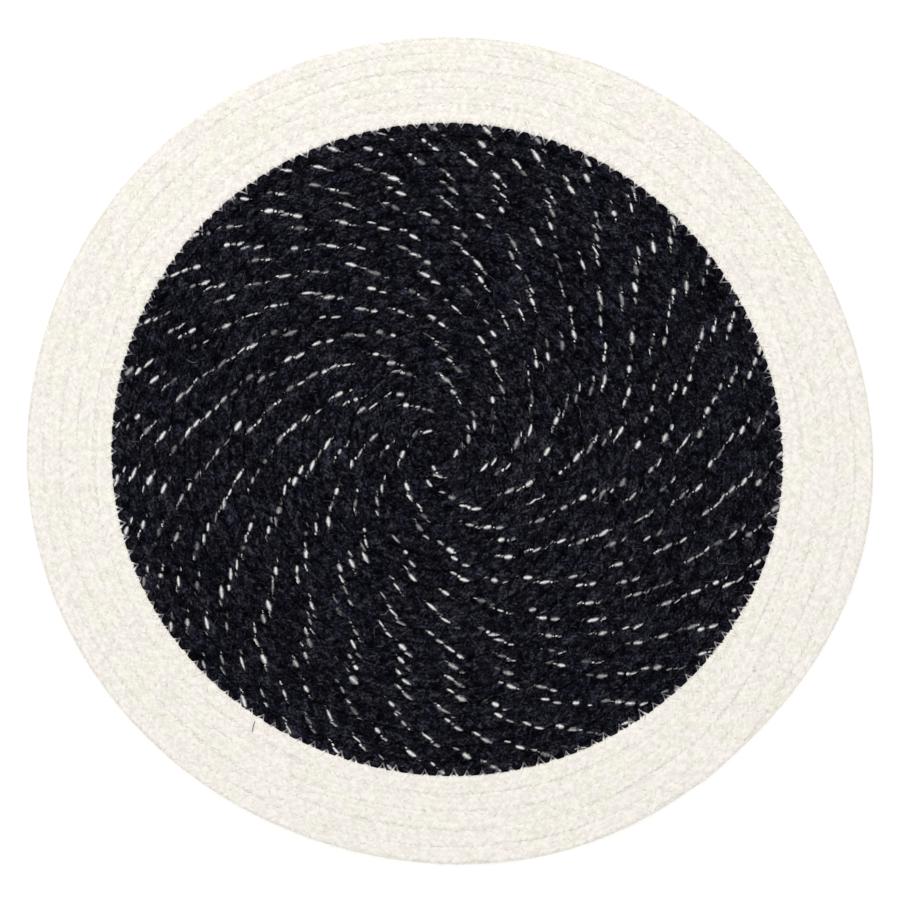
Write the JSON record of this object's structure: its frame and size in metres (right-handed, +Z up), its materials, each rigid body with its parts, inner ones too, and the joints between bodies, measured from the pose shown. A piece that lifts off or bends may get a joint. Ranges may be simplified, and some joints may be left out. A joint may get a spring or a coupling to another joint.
{
  "type": "placemat",
  "caption": "Round table placemat of braided cotton cord coiled flat: a black centre with white thread flecks and a wide cream cord border.",
  "frame": {"origin": "middle of the mat on the surface that it lies on", "axes": "+Z up out of the upper face; +X along the picture's right, +Y along its top"},
  "size_m": [0.3838, 0.3752, 0.0049],
  "materials": {
    "black_cotton": "matt braided cotton cord, black with one white thread",
    "cream_cotton": "matt braided cotton cord, undyed off-white"
  },
  "bodies": {
    "root": {"black_cord_coil": "black_cotton", "cream_cord_coil": "cream_cotton"}
  },
  "joints": []
}
